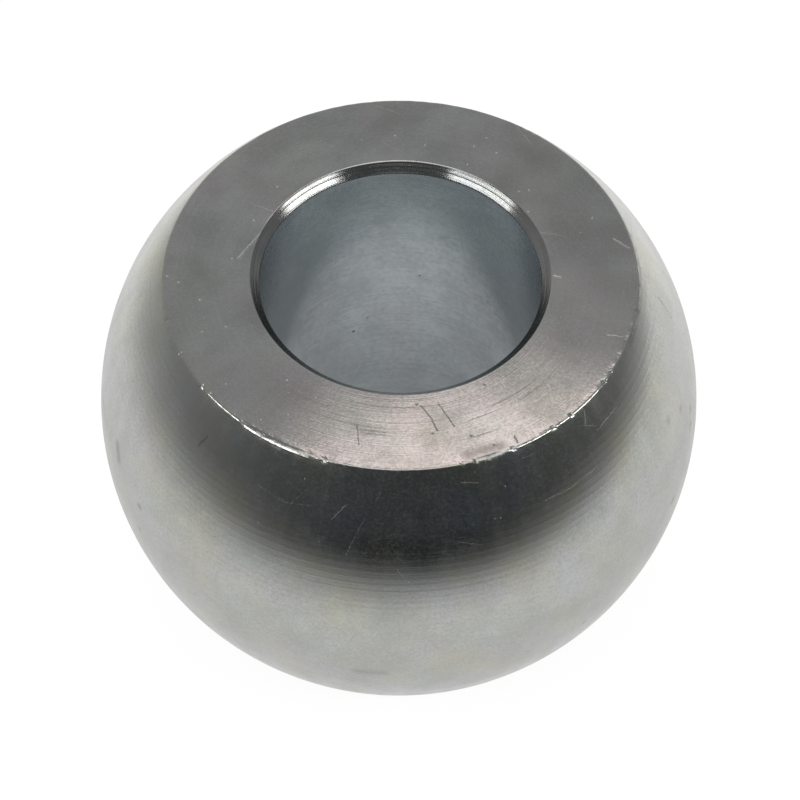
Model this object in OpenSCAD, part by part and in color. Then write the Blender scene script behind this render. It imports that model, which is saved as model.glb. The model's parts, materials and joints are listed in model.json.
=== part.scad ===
// Linkage ball: a steel ball turned in one piece, with two flat faces and a through bore.
// A hitch pin goes through the bore, and the ball swivels in the spherical eye of a link arm.
// The origin is the centre of the ball, and +Z runs along the bore.

/* [Ball] */
// Diameter of the spherical surface
ball_d = 45; // [42:0.5:60]
// Width across the two flat faces
ball_w = 30; // [20:0.5:32]
// Leg of the small edge break where a flat face meets the sphere
rim_break = 0.15; // [0.05:0.05:0.4]

/* [Bore] */
// Diameter of the bore that the pin goes through
bore_d = 20; // [12:0.1:22]
// Leg of the 45 degree chamfer at each mouth of the bore
mouth_chamfer = 0.65; // [0.2:0.05:1.2]

/* [Hidden] */
$fn = 180;

ball_r = ball_d / 2;
bore_r = bore_d / 2;
face_z = ball_w / 2;
mouth_r = bore_r + mouth_chamfer;

// Latitude on the sphere of the sharp rim, and of the outer edge of its break
rim_lat = asin(face_z / ball_r);
break_lat = rim_lat - rim_break / ball_r * 180 / PI;

// The edge break is a straight cut from the flat face to the sphere
break_in = [ball_r * cos(rim_lat) - rim_break, face_z];
break_out = ball_r * [cos(break_lat), sin(break_lat)];
break_slope = (break_out.y - break_in.y) / (break_out.x - break_in.x);

// Straight cuts of the upper half section as [radius, height]: bore, chamfer, flat face and
// edge break, which runs on to the full radius so that the sphere alone ends it
upper_cuts = [
  [bore_r, face_z - mouth_chamfer],
  [mouth_r, face_z],
  break_in,
  [ball_r, face_z + break_slope * (ball_r - break_in.x)]
];

// The lower half is the upper one mirrored, taken backwards to close the outline
lower_cuts = [for (i = [len(upper_cuts) - 1:-1:0]) [upper_cuts[i].x, -upper_cuts[i].y]];

module linkage_ball() {
  color([0.71, 0.71, 0.69])
    intersection() {
      sphere(r = ball_r);
      rotate_extrude() polygon(concat(upper_cuts, lower_cuts));
    }
}

linkage_ball();
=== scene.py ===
import json
import math

import bpy
from mathutils import Matrix, Quaternion, Vector


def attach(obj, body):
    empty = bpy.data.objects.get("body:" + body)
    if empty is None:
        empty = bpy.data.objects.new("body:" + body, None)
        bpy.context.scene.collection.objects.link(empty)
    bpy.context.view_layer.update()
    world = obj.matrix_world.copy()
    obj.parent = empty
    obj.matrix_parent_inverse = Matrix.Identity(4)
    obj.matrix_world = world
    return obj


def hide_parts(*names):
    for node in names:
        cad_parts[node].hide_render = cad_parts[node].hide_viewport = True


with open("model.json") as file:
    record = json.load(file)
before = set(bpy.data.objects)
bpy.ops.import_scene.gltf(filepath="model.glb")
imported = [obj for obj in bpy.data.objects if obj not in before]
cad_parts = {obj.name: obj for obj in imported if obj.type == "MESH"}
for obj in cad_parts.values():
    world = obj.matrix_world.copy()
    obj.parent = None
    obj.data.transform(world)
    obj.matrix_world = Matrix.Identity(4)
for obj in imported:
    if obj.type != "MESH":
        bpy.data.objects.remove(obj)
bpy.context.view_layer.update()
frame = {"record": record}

scene = bpy.context.scene
scene.view_settings.view_transform = "Standard"
mm = 0.001

# sizes of the turned ball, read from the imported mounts
mounts = {m["name"]: m for m in frame["record"]["mounts"]}
ballRadius = mounts["ball_seat"]["dims"]["r_mm"] * mm
boreRadius = mounts["pin_bore"]["dims"]["r_mm"] * mm
boreEnd = mounts["pin_bore"]["dims"]["length_mm"] * mm / 2
faceHeight = mounts["upper_face"]["pos_m"][2]
mouthRadius = boreRadius + faceHeight - boreEnd
rimLatitude = math.asin(faceHeight / ballRadius)
rimRadius = ballRadius * math.cos(rimLatitude)
print("sizes: ball radius", ballRadius, "bore radius", boreRadius, "face height", faceHeight)


# adds one node; inputs are values, sockets or nodes, given in order or by the names of live sockets
def addNode(tree, kind, inputs=(), **settings):
    node = tree.nodes.new(kind)
    for name, value in settings.items():
        setattr(node, name, value)
    pairs = inputs.items() if isinstance(inputs, dict) else enumerate(inputs)
    for key, value in pairs:
        socket = node.inputs[key]
        if isinstance(key, str):
            socket = next(s for s in node.inputs if s.enabled and s.name == key)
        if isinstance(value, bpy.types.Node):
            value = next(s for s in value.outputs if s.enabled)
        if isinstance(value, bpy.types.NodeSocket):
            tree.links.new(value, socket)
        else:
            socket.default_value = value
    return node


def linearColour(hexText):
    parts = [int(hexText[i:i + 2], 16) / 255 for i in (1, 3, 5)]
    return [p / 12.92 if p <= 0.04045 else ((p + 0.055) / 1.055) ** 2.4 for p in parts] + [1.0]


def newMaterial(name):
    material = bpy.data.materials.new(name)
    material.use_nodes = True
    material.node_tree.nodes.clear()
    return material


# feed lines of the lathe: fine across the feed, drawn out along each turn
def feedLines(tree, place, along, pitch, length):
    unit = pitch / 4  # a wave of noise is about four units long
    turn = addNode(tree, "ShaderNodeMath", (along, unit), operation="DIVIDE")
    across = addNode(tree, "ShaderNodeCombineXYZ", (turn,))
    drift = addNode(tree, "ShaderNodeVectorMath", {0: place, "Scale": 1 / length}, operation="SCALE")
    where = addNode(tree, "ShaderNodeVectorMath", (across, drift), operation="ADD")
    return addNode(tree, "ShaderNodeTexNoise", {"Vector": where, "Scale": 1.0, "Detail": 2.0})


# light scratches from handling; real ones are finer than a pixel, so these are drawn wider to show
hairScratch = {"width": 0.05 * mm, "fadeFrom": 0.2, "fadeTo": 0.5, "rarity": 0.45}


# in each cell a plane at a random angle cuts the surface
def strayScratches(tree, place, every, spec):
    cell = addNode(tree, "ShaderNodeTexVoronoi", {"Vector": place, "Scale": 1 / every}).outputs
    tilt = addNode(tree, "ShaderNodeVectorMath", (cell["Color"], (0.5, 0.5, 0.5)), operation="SUBTRACT")
    tilt = addNode(tree, "ShaderNodeVectorMath", (tilt,), operation="NORMALIZE")
    inCell = addNode(tree, "ShaderNodeVectorMath", (place, cell["Position"]), operation="SUBTRACT")
    off = addNode(tree, "ShaderNodeVectorMath", (inCell, tilt), operation="DOT_PRODUCT")
    off = addNode(tree, "ShaderNodeMath", (off,), operation="ABSOLUTE")
    thin = addNode(tree, "ShaderNodeMapRange", {
        "Value": off, "From Min": 0.0, "From Max": spec["width"], "To Min": 1.0, "To Max": 0.0})
    reach = addNode(tree, "ShaderNodeVectorMath", (inCell,), operation="LENGTH")
    short = addNode(tree, "ShaderNodeMapRange", {
        "Value": reach, "From Min": spec["fadeFrom"] * every, "From Max": spec["fadeTo"] * every,
        "To Min": 1.0, "To Max": 0.0})
    chance = addNode(tree, "ShaderNodeTexWhiteNoise", {"Vector": cell["Position"]})
    chosen = addNode(tree, "ShaderNodeMapRange", {
        "Value": chance, "From Min": spec["rarity"], "From Max": 1.0})
    mask = addNode(tree, "ShaderNodeMath", (thin, short), operation="MULTIPLY")
    return addNode(tree, "ShaderNodeMath", (mask, chosen), operation="MULTIPLY")


# marks that the photo shows: the distance to a point, or to straight runs between points, in millimetres
def placedMarks(tree, place, marks):
    mask = 0.0
    for width, strength, points in marks:
        spots = [Vector(p) * mm for p in points]
        for start, end in zip(spots, spots[1:] or spots):
            run = end - start
            gap = addNode(tree, "ShaderNodeVectorMath", (place, start), operation="SUBTRACT")
            if run.length > 0:
                share = addNode(tree, "ShaderNodeVectorMath", (gap, run / run.length_squared),
                                operation="DOT_PRODUCT")
                share = addNode(tree, "ShaderNodeClamp", (share,))
                nearest = addNode(tree, "ShaderNodeVectorMath", {0: run, "Scale": share}, operation="SCALE")
                gap = addNode(tree, "ShaderNodeVectorMath", (gap, nearest), operation="SUBTRACT")
            gap = addNode(tree, "ShaderNodeVectorMath", (gap,), operation="LENGTH")
            edge = addNode(tree, "ShaderNodeMapRange", {
                "Value": gap, "From Min": 0.0, "From Max": width * mm, "To Min": strength, "To Max": 0.0},
                interpolation_type="SMOOTHSTEP")
            mask = addNode(tree, "ShaderNodeMath", (edge, mask), operation="MAXIMUM")
    return mask


# deeper turning lines, drawn wider than the real ones for the same reason
deepTurn = {"width": 0.07 * mm, "coreShare": 0.2, "fadeFrom": 0.3}


# each line is a stretch of a circle of some radius, round a middle azimuth
def deepTurns(tree, place, turns, spec):
    level = addNode(tree, "ShaderNodeVectorMath", (place, (1.0, 1.0, 0.0)), operation="MULTIPLY")
    radius = addNode(tree, "ShaderNodeVectorMath", (level,), operation="LENGTH")
    mask = 0.0
    for turnRadius, azimuth, reach in turns:
        middle = Quaternion((0, 0, 1), math.radians(azimuth)) @ Vector((turnRadius * mm, 0, 0))
        off = addNode(tree, "ShaderNodeMath", (radius, turnRadius * mm), operation="SUBTRACT")
        off = addNode(tree, "ShaderNodeMath", (off,), operation="ABSOLUTE")
        thin = addNode(tree, "ShaderNodeMapRange", {
            "Value": off, "From Min": spec["coreShare"] * spec["width"], "From Max": spec["width"],
            "To Min": 1.0, "To Max": 0.0})
        away = addNode(tree, "ShaderNodeVectorMath", (level, middle), operation="DISTANCE")
        fade = addNode(tree, "ShaderNodeMapRange", {
            "Value": away, "From Min": spec["fadeFrom"] * reach * mm, "From Max": reach * mm,
            "To Min": 1.0, "To Max": 0.0})
        line = addNode(tree, "ShaderNodeMath", (thin, fade), operation="MULTIPLY")
        mask = addNode(tree, "ShaderNodeMath", (line, mask), operation="MAXIMUM")
    return mask


# finishes: one bright turned steel, cut by different passes of the lathe
# feed is the tool's advance in a turn; the real grain is finer than a pixel, so it is drawn coarser to show
# a mark is width, strength and points in millimetres; a turn is radius, middle azimuth and reach

finishes = {
    # sphere, round-nosed tool: a soft mirror, with feed lines where the reflection changes, and scratches
    "turnedSteelSphere": {
        "colour": "#bababa", "cloud": "#aeafaa", "tint": "#b8b8a9", "grime": "#64655f",
        "streak": 0.2, "speckle": 1.0,
        "roughness": 0.185, "smear": 0.09, "wipe": 0.09, "grainRough": 0.10, "film": 0.05, "dull": 0.0,
        "feed": 0.35 * mm, "lineLength": 12 * mm, "lineDepth": 0.0034 * mm,
        "grain": 0.20 * mm, "grainDepth": 0.0030 * mm, "markDepth": 0.006 * mm,
        "strayEvery": 3.5 * mm, "pit": 0.05,
        "scratches": [
            (0.06, 0.9, [(-4.36, -18.67, 11.78), (-3.36, -18.16, 12.86)]),
            (0.06, 0.5, [(-1.12, -17.76, 13.76), (-2.42, -19.06, 11.71), (-3.41, -20.08, 9.56)]),
            (0.06, 0.7, [(4.23, -17.06, 14.04), (5.36, -16.91, 13.84)]),
            (0.07, 1.0, [(18.40, -0.22, 12.94), (19.49, -0.74, 11.21)]),
            (0.07, 0.5, [(9.97, -16.64, 11.39), (11.70, -15.56, 11.27), (13.45, -13.98, 11.39)]),
            (0.06, 0.4, [(-9.31, -16.38, 12.30), (-7.46, -17.51, 12.00), (-5.77, -17.93, 12.31)]),
            (0.07, 0.5, [(12.53, -11.52, 14.71), (12.63, -12.22, 14.06)]),
            (0.07, 0.5, [(-17.16, -6.43, 13.06), (-16.89, -7.36, 12.92)]),
        ],
        "turns": [],
        "stains": [
            (0.7, 0.5, [(-20.19, -8.43, 5.26), (-20.15, -8.99, 4.42)]),
            (0.5, 0.5, [(-18.43, -12.44, 3.43)]),
            (0.4, 0.4, [(-18.68, -12.53, 0.64)]), (0.5, 0.4, [(20.18, -6.22, 7.77)]),
            (0.6, 0.5, [(21.25, -4.70, 5.70)]), (0.6, 0.5, [(21.32, -5.43, 4.71)]),
            (0.6, 0.3, [(19.09, -8.03, 8.80)]), (0.6, 0.6, [(20.06, -10.06, 1.62)]),
            (0.35, 0.5, [(13.66, -17.58, -3.22)]),
            (0.8, 0.25, [(-2.6, -22.2, -2.61), (-0.9, -22.3, -2.61)]),
            (0.14, 0.5, [(-13.56, -13.15, 12.23), (-12.90, -12.99, 13.08)]),
        ],
    },
    # flat, faced from the middle outwards: satin, mottled and smeared, with concentric hair lines
    "facedSteelFlat": {
        "colour": "#bbbdbb", "cloud": "#a0a2a0", "tint": "#bab8b9", "grime": "#5a5350",
        "streak": 0.2, "speckle": 0.7,
        "roughness": 0.11, "smear": 0.06, "wipe": 0.02, "grainRough": 0.05, "film": 0.08, "dull": 0.0,
        "feed": 0.25 * mm, "lineLength": 9 * mm, "lineDepth": 0.0024 * mm,
        "grain": 0.18 * mm, "grainDepth": 0.0014 * mm, "markDepth": 0.010 * mm,
        "strayEvery": 4 * mm, "pit": 0.08,
        "scratches": [
            (0.07, 0.9, [(1.47, -11.52, 15.0), (2.15, -12.45, 15.0), (2.61, -13.56, 15.0)]),
            (0.06, 0.9, [(2.61, -11.25, 15.0), (3.75, -13.21, 15.0)]),
            (0.15, 1.0, [(-11.51, 1.09, 15.0), (-9.93, 3.54, 15.0)]),
            (0.13, 1.0, [(15.18, 3.38, 15.0), (16.21, 2.56, 15.0)]),
            (0.10, 1.0, [(14.35, -5.32, 15.0), (15.37, -5.47, 15.0)]),
            (0.09, 0.8, [(7.75, -13.87, 15.0), (7.94, -14.44, 15.0)]),
            (0.08, 0.5, [(-2.80, -13.17, 15.0), (-2.63, -14.79, 15.0)]),
            (0.14, 1.0, [(10.85, -0.12, 15.0), (11.25, -0.25, 15.0)]),
        ],
        "turns": [
            (11.70, -93, 6.5), (13.45, -106, 4.0), (13.78, -97, 1.8), (14.00, -97, 1.3), (13.50, -66, 1.2),
            (14.90, -68, 1.6), (13.05, -54, 3.2), (13.62, -49, 2.0), (12.60, -122, 3.0),
        ],
        "stains": [
            (0.7, 0.45, [(4.6, -15.5, 15.0), (6.8, -14.7, 15.0)]),
            # broad and faint: darker along the right of the flat
            (5.5, 0.16, [(14.5, -3.5, 15.0), (13.8, 3.5, 15.0), (10.5, 9.5, 15.0)]),
        ],
    },
    # chamfer, one quick cut: shinier than the face beside it, with streaks round the mouth
    "chamferedSteelMouth": {
        "colour": "#9b9b99", "cloud": "#868785", "tint": "#9b9b99", "grime": "#5c5c5a",
        "streak": 1.0, "speckle": 0.3,
        "roughness": 0.15, "smear": 0.03, "wipe": 0.0, "grainRough": 0.04, "film": 0.03, "dull": 0.06,
        "feed": 0.40 * mm, "lineLength": 25 * mm, "lineDepth": 0.014 * mm,
        "grain": 0.30 * mm, "grainDepth": 0.0004 * mm, "markDepth": 0.006 * mm,
        "strayEvery": 5 * mm, "pit": 0.05,
        "scratches": [], "turns": [], "stains": [],
    },
    # bore, drilled and reamed: dull, slightly blue, with fine marks round it and black specks
    "reamedSteelBore": {
        "colour": "#c3c9cc", "cloud": "#b1b7ba", "tint": "#bac3c5", "grime": "#2c2e2f",
        "streak": 0.9, "speckle": 0.8,
        "roughness": 0.235, "smear": 0.06, "wipe": 0.0, "grainRough": 0.04, "film": 0.03, "dull": 0.03,
        "feed": 0.18 * mm, "lineLength": 4 * mm, "lineDepth": 0.0013 * mm,
        "grain": 0.40 * mm, "grainDepth": 0.001 * mm, "markDepth": 0.006 * mm,
        "strayEvery": 7 * mm, "pit": 0.06,
        "scratches": [], "turns": [],
        "stains": [
            (0.22, 0.9, [(-3.72, 9.28, -3.77)]), (0.16, 0.8, [(1.47, 9.89, 2.69)]),
            (0.18, 0.5, [(-2.60, 9.66, -2.40)]), (0.22, 0.4, [(6.75, 7.38, 2.71)]),
            (0.18, 0.3, [(-5.27, 8.50, -1.38)]), (0.16, 0.3, [(-0.50, 9.99, -5.52)]),
        ],
    },
}


# patterns that all four finishes share, with their real sizes; ranges are the parts of the noise that show
steelPatterns = {
    "cloudSize": 10 / 3 * mm,
    "smearSize": 5 / 3 * mm, "smearRange": (0.35, 0.75), "smearMean": 0.4,
    "speckRange": (0.45, 0.7), "grainMean": 0.5,
    "pitEvery": 10 / 7 * mm,
    "wipesRound": 18.0, "wipeSlant": 0.05, "wipeRange": (0.3, 0.8),
    "shake": 0.2 * mm,
    "cloudSpread": 0.2,
    "hueSize": 5 * mm, "hueRange": (0.4, 0.7), "hueDrift": 0.09,
}

# what each pattern adds to dirt, roughness and depth; film and metal are what it takes from the bare metal
markShares = {
    "dirt": {"scratches": 0.2, "turns": 0.45},
    "rough": {"scratches": 0.4, "stray": 0.3, "pit": 0.5, "turns": 0.1, "stains": 0.1},
    "depth": {"scratches": 1.0, "turns": 0.1, "stray": 0.3, "pit": 2.0},
    "film": {"smear": 0.8, "wipe": 0.4, "speck": 1.6},
    "metal": {"scratches": 0.25, "stray": 0.15, "pit": 0.2},
}


def makeFinish(name, spec, pattern, shares):
    material = newMaterial(name)
    tree = material.node_tree
    place = addNode(tree, "ShaderNodeTexCoord").outputs["Object"]
    along = addNode(tree, "ShaderNodeAttribute", attribute_name="turnPath").outputs["Fac"]
    lines = feedLines(tree, place, along, spec["feed"], spec["lineLength"])
    grain = addNode(tree, "ShaderNodeTexNoise", {
        "Vector": place, "Scale": 1 / spec["grain"], "Detail": 3.0})
    cloud = addNode(tree, "ShaderNodeTexNoise", {
        "Vector": place, "Scale": 1 / pattern["cloudSize"], "Detail": 4.0})
    smear = addNode(tree, "ShaderNodeTexNoise", {
        "Vector": place, "Scale": 1 / pattern["smearSize"], "Detail": 8.0, "Roughness": 0.65})
    smear = addNode(tree, "ShaderNodeMapRange", {
        "Value": smear, "From Min": pattern["smearRange"][0], "From Max": pattern["smearRange"][1]})
    speck = addNode(tree, "ShaderNodeMapRange", {
        "Value": grain, "From Min": pattern["speckRange"][0], "From Max": pattern["speckRange"][1]})
    pit = addNode(tree, "ShaderNodeTexVoronoi", {"Vector": place, "Scale": 1 / pattern["pitEvery"]})
    pit = addNode(tree, "ShaderNodeMapRange", {
        "Value": pit, "From Min": 0.0, "From Max": spec["pit"], "To Min": 1.0, "To Max": 0.0})

    # a cloth wipes the ball from rim to rim, across the turning lines
    slant = (1.0, 1.0, pattern["wipeSlant"])
    level = addNode(tree, "ShaderNodeVectorMath", (place, slant), operation="MULTIPLY")
    level = addNode(tree, "ShaderNodeVectorMath", (level,), operation="NORMALIZE")
    wipe = addNode(tree, "ShaderNodeTexNoise", {
        "Vector": level, "Scale": pattern["wipesRound"], "Detail": 3.0})
    wipe = addNode(tree, "ShaderNodeMapRange", {
        "Value": wipe, "From Min": pattern["wipeRange"][0], "From Max": pattern["wipeRange"][1]})

    # marks follow a slightly shaken place, so that none is ruler straight
    shake = addNode(tree, "ShaderNodeVectorMath", (grain.outputs["Color"], (0.5, 0.5, 0.5)),
                    operation="SUBTRACT")
    shake = addNode(tree, "ShaderNodeVectorMath", {0: shake, "Scale": pattern["shake"]}, operation="SCALE")
    shaken = addNode(tree, "ShaderNodeVectorMath", (place, shake), operation="ADD")
    stains = placedMarks(tree, shaken, spec["stains"])
    layers = {
        "lines": lines, "grain": grain, "smear": smear, "speck": speck, "pit": pit, "wipe": wipe,
        "stray": strayScratches(tree, shaken, spec["strayEvery"], hairScratch),
        "scratches": placedMarks(tree, shaken, spec["scratches"]),
        "turns": deepTurns(tree, shaken, spec["turns"], deepTurn),
        "stains": stains,
    }

    # colour: clouded and streaked steel, a faint tint, then the darker bottoms of the marks
    mixed = addNode(tree, "ShaderNodeMath", (grain, spec["speckle"], cloud), operation="MULTIPLY_ADD")
    mixed = addNode(tree, "ShaderNodeMath", (lines, spec["streak"], mixed), operation="MULTIPLY_ADD")
    middle = 0.5 * (1 + spec["speckle"] + spec["streak"])
    spread = pattern["cloudSpread"]
    mixed = addNode(tree, "ShaderNodeMapRange", {
        "Value": mixed, "From Min": middle - spread, "From Max": middle + spread})
    hue = addNode(tree, "ShaderNodeTexNoise", {
        "Vector": place, "Scale": 1 / pattern["hueSize"], "Detail": 3.0})
    tinted = addNode(tree, "ShaderNodeMapRange", {
        "Value": hue, "From Min": pattern["hueRange"][0], "From Max": pattern["hueRange"][1]})
    colour = linearColour(spec["colour"])
    for factor, shade in ((tinted, "tint"), (mixed, "cloud")):
        colour = addNode(tree, "ShaderNodeMix", {
            "Factor": factor, "A": colour, "B": linearColour(spec[shade])}, data_type="RGBA")
    colour = addNode(tree, "ShaderNodeMix", {
        "Factor": pattern["hueDrift"], "A": colour, "B": hue.outputs["Color"]},
        data_type="RGBA", blend_type="SOFT_LIGHT")
    dirt = stains
    for layer, share in shares["dirt"].items():
        part = addNode(tree, "ShaderNodeMath", (layers[layer], share), operation="MULTIPLY")
        dirt = addNode(tree, "ShaderNodeMath", (part, dirt), operation="MAXIMUM")
    colour = addNode(tree, "ShaderNodeMix", {
        "Factor": dirt, "A": colour, "B": linearColour(spec["grime"])}, data_type="RGBA")

    # roughness and height each add up from the same patterns
    rough = spec["roughness"] - pattern["grainMean"] * spec["grainRough"]
    rough -= pattern["smearMean"] * (spec["smear"] + spec["wipe"])
    hazy = {"smear": spec["smear"], "wipe": spec["wipe"], "grain": spec["grainRough"]}
    for layer, share in {**hazy, **shares["rough"]}.items():
        rough = addNode(tree, "ShaderNodeMath", (layers[layer], share, rough), operation="MULTIPLY_ADD")
    height = 0.0
    raised = {"lines": spec["lineDepth"], "grain": spec["grainDepth"]}
    sunk = {layer: -share * spec["markDepth"] for layer, share in shares["depth"].items()}
    for layer, depth in {**raised, **sunk}.items():
        height = addNode(tree, "ShaderNodeMath", (layers[layer], depth, height), operation="MULTIPLY_ADD")
    bump = addNode(tree, "ShaderNodeBump", {"Strength": 1.0, "Distance": 1.0, "Height": height})

    # dust, oil and torn metal scatter a little light, which shows where the steel mirrors something dark
    metal = 1 - spec["dull"]
    hazed = {layer: share * spec["film"] for layer, share in shares["film"].items()}
    for layer, share in {**hazed, **shares["metal"]}.items():
        metal = addNode(tree, "ShaderNodeMath", (layers[layer], -share, metal), operation="MULTIPLY_ADD")
    shader = addNode(tree, "ShaderNodeBsdfPrincipled", {
        "Base Color": colour, "Metallic": metal, "Roughness": rough, "Normal": bump})
    addNode(tree, "ShaderNodeOutputMaterial", {"Surface": shader})
    return material


materials = {}
for name, spec in finishes.items():
    materials[name] = makeFinish(name, spec, steelPatterns, markShares)
print("finishes:", ", ".join(materials))

# the turned ball: its half section is revolved about the bore and mirrored, and nicks go into its upper rim

ballLook = {
    "segments": 720,
    "arcRings": 30,
    "coarseStep": 2.4 * mm,
    "fineStep": 0.14 * mm,
    "rimReach": 1.0 * mm,
    "fineEnds": (1.05, 1.1),  # in rim reaches, where the fine rings give way to the coarse ones
    "rimBreak": 0.09 * mm,
    "edgeRound": 0.12 * mm,
    "edgeSteps": 3,
    "sharpAngle": math.radians(4),
    "ballSlack": 0.003 * mm,  # points this near the sphere are put on it
    "mergeGap": 0.001 * mm,
    "wearDepth": 0.025 * mm,
    "wearSize": 0.8 * mm,
    "wearReach": 0.5 * mm,
    "wearRange": (0.4, 0.75),
    "seed": 7.0,
    # azimuth in degrees, reach and depth in millimetres, all on the upper rim
    "nicks": [
        (-164.5, 0.25, 0.04), (-153.3, 0.25, 0.04), (-142.1, 0.25, 0.05), (-107.0, 0.30, 0.03),
        (-75.0, 0.30, 0.04), (-72.0, 0.25, 0.03), (-62.8, 0.25, 0.04),
        (-51.8, 0.28, 0.05), (-46.3, 0.25, 0.03), (-33.7, 0.28, 0.05), (-30.5, 0.22, 0.04),
        (-10.7, 0.25, 0.04), (-2.8, 0.25, 0.03), (56.9, 0.30, 0.04), (54.4, 0.25, 0.03),
    ],
    # facets rubbed on the upper rim: azimuth in degrees, half length, reach and depth in millimetres
    "worn": [(-120.0, 3.6, 0.14, 0.05), (-117.0, 3.2, 0.55, 0.02), (-69.0, 1.6, 0.15, 0.05)],
    "wornFade": 0.4,
}


def buildBallTree(spec):
    tree = bpy.data.node_groups.new("turnedBall", "GeometryNodeTree")
    halfTurn = (math.pi / 2 - rimLatitude) / 2
    sizes = {
        "Ball Radius": ballRadius, "Bore Radius": boreRadius, "Bore End": boreEnd,
        "Mouth Radius": mouthRadius, "Face Height": faceHeight,
        "Rim Latitude": rimLatitude, "Rim Radius": rimRadius,
        "Rim Reach": spec["rimReach"], "Rim Break": spec["rimBreak"], "Edge Round": spec["edgeRound"],
        "Rim Round": spec["rimBreak"] / math.tan(halfTurn), "Wear Depth": spec["wearDepth"],
    }
    for name in sizes:
        tree.interface.new_socket(name, in_out="INPUT", socket_type="NodeSocketFloat")
    tree.interface.new_socket("Geometry", in_out="OUTPUT", socket_type="NodeSocketGeometry")
    given = addNode(tree, "NodeGroupInput").outputs
    index = addNode(tree, "GeometryNodeInputIndex")
    position = addNode(tree, "GeometryNodeInputPosition")
    rimPoint = addNode(tree, "ShaderNodeCombineXYZ", (given["Rim Radius"], 0.0, given["Face Height"]))

    # half section from the middle of the bore, over the chamfer and the flat, to the equator
    step = addNode(tree, "ShaderNodeMath", (index, 4.0), operation="SUBTRACT")
    left = addNode(tree, "ShaderNodeMath", (step, -1 / spec["arcRings"], 1.0), operation="MULTIPLY_ADD")
    latitude = addNode(tree, "ShaderNodeMath", (given["Rim Latitude"], left), operation="MULTIPLY")
    level = addNode(tree, "ShaderNodeMath", (latitude,), operation="COSINE")
    rise = addNode(tree, "ShaderNodeMath", (latitude,), operation="SINE")
    onBall = addNode(tree, "ShaderNodeCombineXYZ", (level, 0.0, rise))
    onBall = addNode(tree, "ShaderNodeVectorMath", {0: onBall, "Scale": given["Ball Radius"]},
                     operation="SCALE")
    fineFrom = addNode(tree, "ShaderNodeMath", (given["Rim Radius"], given["Rim Reach"]),
                       operation="SUBTRACT")
    corners = [
        addNode(tree, "ShaderNodeCombineXYZ", (given["Bore Radius"], 0.0, 0.0)),
        addNode(tree, "ShaderNodeCombineXYZ", (given["Bore Radius"], 0.0, given["Bore End"])),
        addNode(tree, "ShaderNodeCombineXYZ", (given["Mouth Radius"], 0.0, given["Face Height"])),
        addNode(tree, "ShaderNodeCombineXYZ", (fineFrom, 0.0, given["Face Height"])),
        onBall,
    ]
    rounds = [0.0, given["Edge Round"], given["Edge Round"], 0.0, given["Rim Round"], 0.0]
    picked = []
    for kind, choices in (("VECTOR", corners), ("FLOAT", rounds)):
        last = addNode(tree, "ShaderNodeMath", (index, len(choices) - 1.0), operation="MINIMUM")
        switch = addNode(tree, "GeometryNodeIndexSwitch", data_type=kind)
        while len(switch.index_switch_items) < len(choices):
            switch.index_switch_items.new()
        tree.links.new(last.outputs[0], switch.inputs["Index"])
        for slot, choice in enumerate(choices):
            if isinstance(choice, float):
                switch.inputs[slot + 1].default_value = choice
            else:
                socket = choice.outputs[0] if isinstance(choice, bpy.types.Node) else choice
                tree.links.new(socket, switch.inputs[slot + 1])
        picked.append(switch)
    section = addNode(tree, "GeometryNodeMeshLine", {"Count": spec["arcRings"] + len(corners)})
    section = addNode(tree, "GeometryNodeSetPosition", {"Geometry": section, "Position": picked[0]})
    section = addNode(tree, "GeometryNodeMeshToCurve", {"Mesh": section})
    section = addNode(tree, "GeometryNodeFilletCurve", {
        "Curve": section, "Radius": picked[1], "Count": spec["edgeSteps"]}, mode="POLY")

    # more rings near the rim, all put back on the sphere
    following = addNode(tree, "ShaderNodeMath", (index, 1.0), operation="ADD")
    nextPlace = addNode(tree, "GeometryNodeFieldAtIndex", {"Index": following, "Value": position},
                        data_type="FLOAT_VECTOR")
    stretch = addNode(tree, "ShaderNodeVectorMath", (position, nextPlace), operation="DISTANCE")
    fromRim = addNode(tree, "ShaderNodeVectorMath", (position, rimPoint), operation="DISTANCE")
    fromRim = addNode(tree, "ShaderNodeMath", (fromRim, given["Rim Reach"]), operation="DIVIDE")
    ringStep = addNode(tree, "ShaderNodeMapRange", {
        "Value": fromRim, "From Min": spec["fineEnds"][0], "From Max": spec["fineEnds"][1],
        "To Min": spec["fineStep"], "To Max": spec["coarseStep"]})
    cuts = addNode(tree, "ShaderNodeMath", (stretch, ringStep), operation="DIVIDE")
    cuts = addNode(tree, "ShaderNodeMath", (cuts,), operation="FLOOR")
    section = addNode(tree, "GeometryNodeSubdivideCurve", {"Curve": section, "Cuts": cuts})
    reach = addNode(tree, "ShaderNodeVectorMath", (position,), operation="LENGTH")
    below = addNode(tree, "ShaderNodeMath", (given["Ball Radius"], reach), operation="SUBTRACT")
    isBall = addNode(tree, "FunctionNodeCompare", {"A": below, "B": spec["ballSlack"]},
                     operation="LESS_THAN")
    outward = addNode(tree, "ShaderNodeVectorMath", (position,), operation="NORMALIZE")
    ballPlace = addNode(tree, "ShaderNodeVectorMath", {0: outward, "Scale": given["Ball Radius"]},
                        operation="SCALE")
    section = addNode(tree, "GeometryNodeSetPosition", {
        "Geometry": section, "Selection": isBall, "Position": ballPlace})

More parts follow.
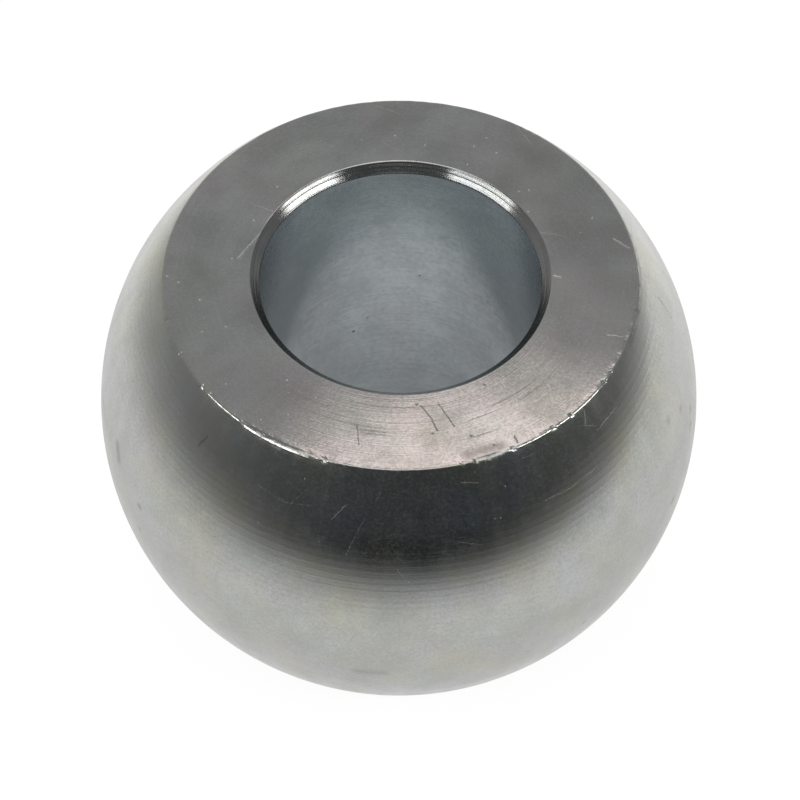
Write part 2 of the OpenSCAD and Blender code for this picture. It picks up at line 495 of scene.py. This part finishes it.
    # revolve: one grid row for each point of the section
    rings = addNode(tree, "GeometryNodeAttributeDomainSize", {"Geometry": section}, component="CURVE")
    spokes = spec["segments"] + 1
    grid = addNode(tree, "GeometryNodeMeshGrid", {
        "Vertices X": rings.outputs["Point Count"], "Vertices Y": spokes})
    ring = addNode(tree, "ShaderNodeMath", (index, 0.5), operation="ADD")
    ring = addNode(tree, "ShaderNodeMath", (ring, spokes), operation="DIVIDE")
    ring = addNode(tree, "ShaderNodeMath", (ring,), operation="FLOOR")
    spoke = addNode(tree, "ShaderNodeMath", (ring, -spokes, index), operation="MULTIPLY_ADD")
    swing = addNode(tree, "ShaderNodeMath", (spoke, 2 * math.pi / spec["segments"]), operation="MULTIPLY")
    ringPlace = addNode(tree, "GeometryNodeSampleIndex", {
        "Geometry": section, "Value": position, "Index": ring}, data_type="FLOAT_VECTOR")
    length = addNode(tree, "GeometryNodeSplineParameter").outputs["Length"]
    ringLength = addNode(tree, "GeometryNodeSampleIndex", {
        "Geometry": section, "Value": length, "Index": ring}, data_type="FLOAT")
    swung = addNode(tree, "ShaderNodeVectorRotate", {"Vector": ringPlace, "Angle": swing},
                    rotation_type="Z_AXIS")
    upper = addNode(tree, "GeometryNodeStoreNamedAttribute", {
        "Geometry": grid, "Name": "turnPath", "Value": ringLength}, data_type="FLOAT", domain="POINT")
    upper = addNode(tree, "GeometryNodeSetPosition", {"Geometry": upper, "Position": swung})
    lower = addNode(tree, "GeometryNodeTransform", {"Geometry": upper, "Scale": (1, 1, -1)})
    lower = addNode(tree, "GeometryNodeFlipFaces", {"Mesh": lower})
    both = addNode(tree, "GeometryNodeJoinGeometry")
    for part in (lower, upper):
        tree.links.new(part.outputs[0], both.inputs[0])
    whole = addNode(tree, "GeometryNodeMergeByDistance", {"Geometry": both, "Distance": spec["mergeGap"]})

    # smooth everywhere but on the tiny facets of the broken edges
    angle = addNode(tree, "GeometryNodeInputMeshEdgeAngle").outputs["Unsigned Angle"]
    crisp = addNode(tree, "FunctionNodeCompare", {"A": angle, "B": spec["sharpAngle"]},
                    operation="GREATER_THAN")
    whole = addNode(tree, "GeometryNodeSetShadeSmooth", {
        "Geometry": whole, "Selection": crisp, "Shade Smooth": False}, domain="EDGE")

    # wear along both rims and nicks in the upper one, all knocked towards the middle of the ball
    parts = addNode(tree, "ShaderNodeSeparateXYZ", (position,)).outputs
    height = addNode(tree, "ShaderNodeMath", (parts["Z"],), operation="ABSOLUTE")
    flatPlace = addNode(tree, "ShaderNodeVectorMath", (position, (1.0, 1.0, 0.0)), operation="MULTIPLY")
    radius = addNode(tree, "ShaderNodeVectorMath", (flatPlace,), operation="LENGTH")
    inSection = addNode(tree, "ShaderNodeCombineXYZ", (radius, 0.0, height))
    offRim = addNode(tree, "ShaderNodeVectorMath", (inSection, rimPoint), operation="DISTANCE")
    nearRim = addNode(tree, "ShaderNodeMapRange", {
        "Value": offRim, "From Min": 0.0, "From Max": spec["wearReach"], "To Min": 1.0, "To Max": 0.0},
        interpolation_type="SMOOTHSTEP")
    rubbed = addNode(tree, "ShaderNodeTexNoise", {
        "Vector": position, "W": spec["seed"], "Scale": 1 / spec["wearSize"], "Detail": 2.0},
        noise_dimensions="4D")
    rubbed = addNode(tree, "ShaderNodeMapRange", {
        "Value": rubbed, "From Min": spec["wearRange"][0], "From Max": spec["wearRange"][1]})
    rubbed = addNode(tree, "ShaderNodeMath", (rubbed, nearRim), operation="MULTIPLY")
    depth = addNode(tree, "ShaderNodeMath", (rubbed, given["Wear Depth"]), operation="MULTIPLY")
    for azimuth, nickReach, nickDepth in spec["nicks"]:
        middle = addNode(tree, "ShaderNodeVectorRotate", {
            "Vector": rimPoint, "Angle": math.radians(azimuth)}, rotation_type="Z_AXIS")
        away = addNode(tree, "ShaderNodeVectorMath", (position, middle), operation="DISTANCE")
        nick = addNode(tree, "ShaderNodeMapRange", {
            "Value": away, "From Min": 0.0, "From Max": nickReach * mm,
            "To Min": nickDepth * mm, "To Max": 0.0}, interpolation_type="SMOOTHSTEP")
        depth = addNode(tree, "ShaderNodeMath", (depth, nick), operation="ADD")
    for azimuth, halfLength, wornReach, wornDepth in spec["worn"]:
        middle = addNode(tree, "ShaderNodeVectorRotate", {
            "Vector": rimPoint, "Angle": math.radians(azimuth)}, rotation_type="Z_AXIS")
        away = addNode(tree, "ShaderNodeVectorMath", (position, middle), operation="DISTANCE")
        fade = addNode(tree, "ShaderNodeMapRange", {
            "Value": away, "From Min": spec["wornFade"] * halfLength * mm, "From Max": halfLength * mm,
            "To Min": 1.0, "To Max": 0.0}, interpolation_type="SMOOTHSTEP")
        facet = addNode(tree, "ShaderNodeMapRange", {
            "Value": offRim, "From Min": 0.0, "From Max": wornReach * mm,
            "To Min": wornDepth * mm, "To Max": 0.0})
        depth = addNode(tree, "ShaderNodeMath", (facet, fade, depth), operation="MULTIPLY_ADD")
    inward = addNode(tree, "ShaderNodeMath", (depth, -1.0), operation="MULTIPLY")
    shift = addNode(tree, "ShaderNodeVectorMath", {0: outward, "Scale": inward}, operation="SCALE")
    whole = addNode(tree, "GeometryNodeSetPosition", {"Geometry": whole, "Offset": shift})
    whole = addNode(tree, "GeometryNodeRealizeInstances", {"Geometry": whole})

    # each zone of the turned surface gets its own finish
    inMouth = addNode(tree, "ShaderNodeMath", (radius, given["Mouth Radius"]), operation="LESS_THAN")
    underMouth = addNode(tree, "ShaderNodeMath", (height, given["Bore End"]), operation="LESS_THAN")
    inBore = addNode(tree, "ShaderNodeMath", (inMouth, underMouth), operation="MULTIPLY")
    flatEnd = addNode(tree, "ShaderNodeMath", (given["Rim Radius"], given["Rim Break"]),
                      operation="SUBTRACT")
    inRim = addNode(tree, "ShaderNodeMath", (radius, flatEnd), operation="LESS_THAN")
    isFlat = addNode(tree, "ShaderNodeMath", (inRim, inMouth), operation="SUBTRACT")
    for name, zone in (("turnedSteelSphere", True), ("chamferedSteelMouth", inMouth),
                       ("reamedSteelBore", inBore), ("facedSteelFlat", isFlat)):
        whole = addNode(tree, "GeometryNodeSetMaterial", {
            "Geometry": whole, "Selection": zone, "Material": materials[name]})
    addNode(tree, "NodeGroupOutput", {"Geometry": whole})
    return tree, sizes


def makeBall():
    tree, sizes = buildBallTree(ballLook)
    holder = bpy.data.objects.new("ballSection", bpy.data.meshes.new("ballSection"))
    scene.collection.objects.link(holder)
    modifier = holder.modifiers.new("turnedBall", "NODES")
    modifier.node_group = tree
    for socket in tree.interface.items_tree:
        if socket.in_out == "INPUT":
            modifier[socket.identifier] = sizes[socket.name]
    holder.update_tag()
    graph = bpy.context.evaluated_depsgraph_get()
    mesh = bpy.data.meshes.new_from_object(
        holder.evaluated_get(graph), preserve_all_data_layers=True, depsgraph=graph)
    bpy.data.objects.remove(holder)
    ball = bpy.data.objects.new("turnedBall", mesh)
    scene.collection.objects.link(ball)
    return ball


ball = makeBall()
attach(ball, "root")
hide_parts("linkage_ball")
print("ball:", len(ball.data.vertices), "points", len(ball.data.polygons), "faces")

# studio: white paper under a wide soft lamp, a warm lamp at the back, two narrow side lamps, a dim room,
# and on the paper a painted pool of light and shade that only the steel mirrors

studio = {
    "tableRadius": 1.5,
    "tableSides": 64,
    # glow times shine keeps the paper just under white; the rest of it takes the lamps and the soft shadow
    "tableWhite": "#ecece9",
    "tableGlow": 0.8,
    "tableShine": 1.16,
    # a painted pool of light that the steel mirrors in place of the paper, with a painted shadow round the
    # foot and painted shade in the bore
    "poolCentre": (0.033, 0.015, -faceHeight),
    "poolHalf": (0.081, 0.050, 1.0),
    "poolTurn": math.radians(15),
    "poolSoft": 0.90,
    "poolFall": -1.5,
    "poolLight": (0.93, 1.08),
    "poolBack": 0.05,
    "footCentre": (0.0, 0.016, -faceHeight),
    "footReach": (0.030, 0.052),
    "footLight": 0.78,
    "boreLight": (0.74, 0.38),
    "boreShadeEnd": 0.6 * boreRadius,
    # colours at the dark and the light end, the direction of the light end, and how the change is bent
    # for the far table these ends are painted shade and light
    "tableEnds": ("#1c1f22", "#cbcbca"),
    "tableAxis": (-0.05, 0.999, 0.0),
    "tableBend": 0.95,
    "roomEnds": ("#3a3e42", "#bababa"),
    "roomAxis": (-0.18, 0.984, 0.0),
    "roomBend": 1.5,
    "fullLight": 0.95,
}


# the room and the far table are darkest in front, a little to the right, and get lighter towards the back;
# on the far table this is painted shade and light
def roomLight(tree, direction, spec, where):
    dark, pale = (linearColour(end) for end in spec[where + "Ends"])
    axis = spec[where + "Axis"]
    facing = addNode(tree, "ShaderNodeVectorMath", (direction, axis), operation="DOT_PRODUCT")
    back = addNode(tree, "ShaderNodeMapRange", {
        "Value": facing, "From Min": -1.0, "From Max": spec["fullLight"]})
    back = addNode(tree, "ShaderNodeMath", (back, spec[where + "Bend"]), operation="POWER")
    return addNode(tree, "ShaderNodeMix", {"Factor": back, "A": dark, "B": pale}, data_type="RGBA")


def makeTable(spec):
    sides = range(spec["tableSides"])
    turns = [2 * math.pi * side / len(sides) for side in sides]
    reach = spec["tableRadius"]
    points = [(reach * math.cos(a), reach * math.sin(a), -faceHeight) for a in turns]
    mesh = bpy.data.meshes.new("table")
    mesh.from_pydata(points, [], [list(sides)])
    table = bpy.data.objects.new("table", mesh)
    scene.collection.objects.link(table)
    material = newMaterial("paperWithPaintedPool")
    tree = material.node_tree
    path = addNode(tree, "ShaderNodeLightPath").outputs
    place = addNode(tree, "ShaderNodeTexCoord").outputs["Object"]
    parts = addNode(tree, "ShaderNodeSeparateXYZ", (place,)).outputs
    fromAxis = addNode(tree, "ShaderNodeVectorMath", (place, (0.0, 0.0, -faceHeight)),
                       operation="DISTANCE")

    # a painted pool of light that only the steel sees: an oval with a long soft edge, brighter towards the
    # back, with a painted shadow at the foot of the ball
    across = addNode(tree, "ShaderNodeVectorMath", (place, spec["poolCentre"]), operation="SUBTRACT")
    across = addNode(tree, "ShaderNodeVectorRotate", {"Vector": across, "Angle": -spec["poolTurn"]},
                     rotation_type="Z_AXIS")
    across = addNode(tree, "ShaderNodeVectorMath", (across, spec["poolHalf"]), operation="DIVIDE")
    across = addNode(tree, "ShaderNodeVectorMath", (across,), operation="LENGTH")
    past = addNode(tree, "ShaderNodeMath", (across, 1.0), operation="SUBTRACT")
    past = addNode(tree, "ShaderNodeMath", (past, 0.0), operation="MAXIMUM")
    past = addNode(tree, "ShaderNodeMath", (past, spec["poolSoft"]), operation="DIVIDE")
    past = addNode(tree, "ShaderNodeMath", (past, past, 1.0), operation="MULTIPLY_ADD")
    pool = addNode(tree, "ShaderNodeMath", (past, spec["poolFall"]), operation="POWER")
    light = addNode(tree, "ShaderNodeMapRange", {
        "Value": parts["Y"], "From Min": 0.0, "From Max": spec["poolBack"],
        "To Min": spec["poolLight"][0], "To Max": spec["poolLight"][1]})
    # painted shadow: the pool is darker round the foot of the ball
    paintedFootShadow = addNode(tree, "ShaderNodeVectorMath", (place, spec["footCentre"]), operation="DISTANCE")
    paintedFootShadow = addNode(tree, "ShaderNodeMapRange", {
        "Value": paintedFootShadow, "From Min": spec["footReach"][0], "From Max": spec["footReach"][1],
        "To Min": spec["footLight"], "To Max": 1.0})
    light = addNode(tree, "ShaderNodeMath", (light, paintedFootShadow), operation="MULTIPLY")
    # painted light through the bore: the paper under the bore is lighter at the front and darker at the
    # back
    paintedBoreLight = addNode(tree, "ShaderNodeMapRange", {
        "Value": parts["Y"], "From Min": -boreRadius, "From Max": spec["boreShadeEnd"],
        "To Min": spec["boreLight"][0], "To Max": spec["boreLight"][1]})
    inBore = addNode(tree, "ShaderNodeMath", (fromAxis, mouthRadius), operation="LESS_THAN")
    light = addNode(tree, "ShaderNodeMix", {"Factor": inBore, "A": light, "B": paintedBoreLight})
    # painted shade and light on the far table, darker in front and lighter at the back
    away = addNode(tree, "ShaderNodeVectorMath", (place, (1.0, 1.0, 0.0)), operation="MULTIPLY")
    away = addNode(tree, "ShaderNodeVectorMath", (away,), operation="NORMALIZE")
    paintedFarTable = roomLight(tree, away, spec, "table")
    light = addNode(tree, "ShaderNodeMix", {"Factor": pool, "A": paintedFarTable, "B": light}, data_type="RGBA")
    paper = addNode(tree, "ShaderNodeBsdfDiffuse", {"Color": linearColour(spec["tableWhite"])})
    white = addNode(tree, "ShaderNodeEmission", {"Strength": spec["tableShine"]})
    # painted light: the pool, the foot shadow and the bore light glow here instead of being lit by the
    # lamps
    paintedPoolGlow = addNode(tree, "ShaderNodeEmission", {"Color": light, "Strength": 1.0})
    glow = addNode(tree, "ShaderNodeMath", (path["Is Camera Ray"], spec["tableGlow"]),
                   operation="MULTIPLY")
    seen = addNode(tree, "ShaderNodeMixShader", (glow, paper, white))
    mirrored = addNode(tree, "ShaderNodeMixShader", (path["Is Glossy Ray"], seen, paintedPoolGlow))
    addNode(tree, "ShaderNodeOutputMaterial", {"Surface": mirrored})
    table.data.materials.append(material)


def makeRoom(spec):
    world = bpy.data.worlds.new("room")
    scene.world = world
    world.use_nodes = True
    tree = world.node_tree
    tree.nodes.clear()
    direction = addNode(tree, "ShaderNodeTexCoord").outputs["Generated"]
    dim = roomLight(tree, direction, spec, "room")
    dim = addNode(tree, "ShaderNodeBackground", {"Color": dim})
    white = addNode(tree, "ShaderNodeBackground", {"Color": (1, 1, 1, 1)})
    path = addNode(tree, "ShaderNodeLightPath").outputs
    seen = addNode(tree, "ShaderNodeMixShader", (path["Is Camera Ray"], dim, white))
    addNode(tree, "ShaderNodeOutputWorld", {"Surface": seen})


# each lamp is a flat panel between two directions, given as azimuth from the camera's side, to the right,
# and elevation; its radiance is what a mirror would show
lamps = {
    "overheadSoftbox": {
        "from": (180, 73), "to": (0, 49), "depth": 0.48, "distance": 0.50,
        "radiance": 1.1, "colour": "#ffffff", "shape": "ELLIPSE",
    },
    "backLamp": {
        "from": (152.5, 60.4), "to": (191, 61.3), "depth": 0.15, "distance": 0.60,
        "radiance": 1.42, "colour": "#ffebe5", "shape": "ELLIPSE",
    },
    "leftLamp": {
        "from": (-35, 43), "to": (-85, 29.5), "depth": 0.06, "distance": 0.45,
        "radiance": 5.0, "colour": "#ffffff", "shape": "RECTANGLE",
    },
    "rightLamp": {
        "from": (48, 41), "to": (90, 28), "depth": 0.06, "distance": 0.45,
        "radiance": 6.4, "colour": "#ffffff", "shape": "RECTANGLE",
    },
}


def towards(direction):
    azimuth, elevation = (math.radians(a) for a in direction)
    level = Vector((math.sin(azimuth), -math.cos(azimuth), 0)) * math.cos(elevation)
    return level + Vector((0, 0, math.sin(elevation)))


def makeLamp(name, spec):
    ends = [towards(spec[end]) * spec["distance"] for end in ("from", "to")]
    along = (ends[1] - ends[0]).normalized()
    facing = (ends[0] + ends[1]).normalized()
    light = bpy.data.lights.new(name, "AREA")
    light.shape = spec["shape"]
    light.size = (ends[1] - ends[0]).length
    light.size_y = spec["depth"]
    light.color = linearColour(spec["colour"])[:3]
    area = light.size * light.size_y * (math.pi / 4 if spec["shape"] == "ELLIPSE" else 1)
    light.energy = spec["radiance"] * math.pi * area
    lamp = bpy.data.objects.new(name, light)
    lamp.matrix_world = Matrix((along, facing.cross(along), facing)).transposed().to_4x4()
    lamp.location = facing * spec["distance"]
    lamp.visible_camera = False
    scene.collection.objects.link(lamp)


makeTable(studio)
makeRoom(studio)
for name, spec in lamps.items():
    makeLamp(name, spec)
print("studio:", ", ".join(lamps))

# camera, fitted to the outline, the rim and the mouth in the 800 pixel frame

cameraFit = {
    "framePixels": 800,
    "focalPixels": 2097,
    "distance": 7.115 * ballRadius,
    "elevation": math.radians(53.95),
    "roll": 0.0158,
    "centrePixel": (398.79, 397.96),
    "sensor": 36.0,
    "nearClip": 1 * mm,
}


def makeCamera(spec):
    data = bpy.data.cameras.new("camera")
    data.sensor_width = spec["sensor"]
    data.lens = spec["focalPixels"] / spec["framePixels"] * spec["sensor"]
    data.clip_start = spec["nearClip"]
    camera = bpy.data.objects.new("camera", data)
    scene.collection.objects.link(camera)
    back = Vector((0, -math.cos(spec["elevation"]), math.sin(spec["elevation"])))
    right = Vector((1, 0, 0))
    up = back.cross(right)
    perPixel = spec["distance"] / spec["focalPixels"]
    middle = spec["framePixels"] / 2
    aim = right * (middle - spec["centrePixel"][0]) * perPixel
    aim -= up * (middle - spec["centrePixel"][1]) * perPixel
    camera.location = back * spec["distance"]
    camera.rotation_mode = "QUATERNION"
    look = (camera.location - aim).to_track_quat("Z", "Y")
    camera.rotation_quaternion = look @ Quaternion((0, 0, 1), spec["roll"])
    scene.camera = camera


makeCamera(cameraFit)
print("camera: lens", round(scene.camera.data.lens, 2))
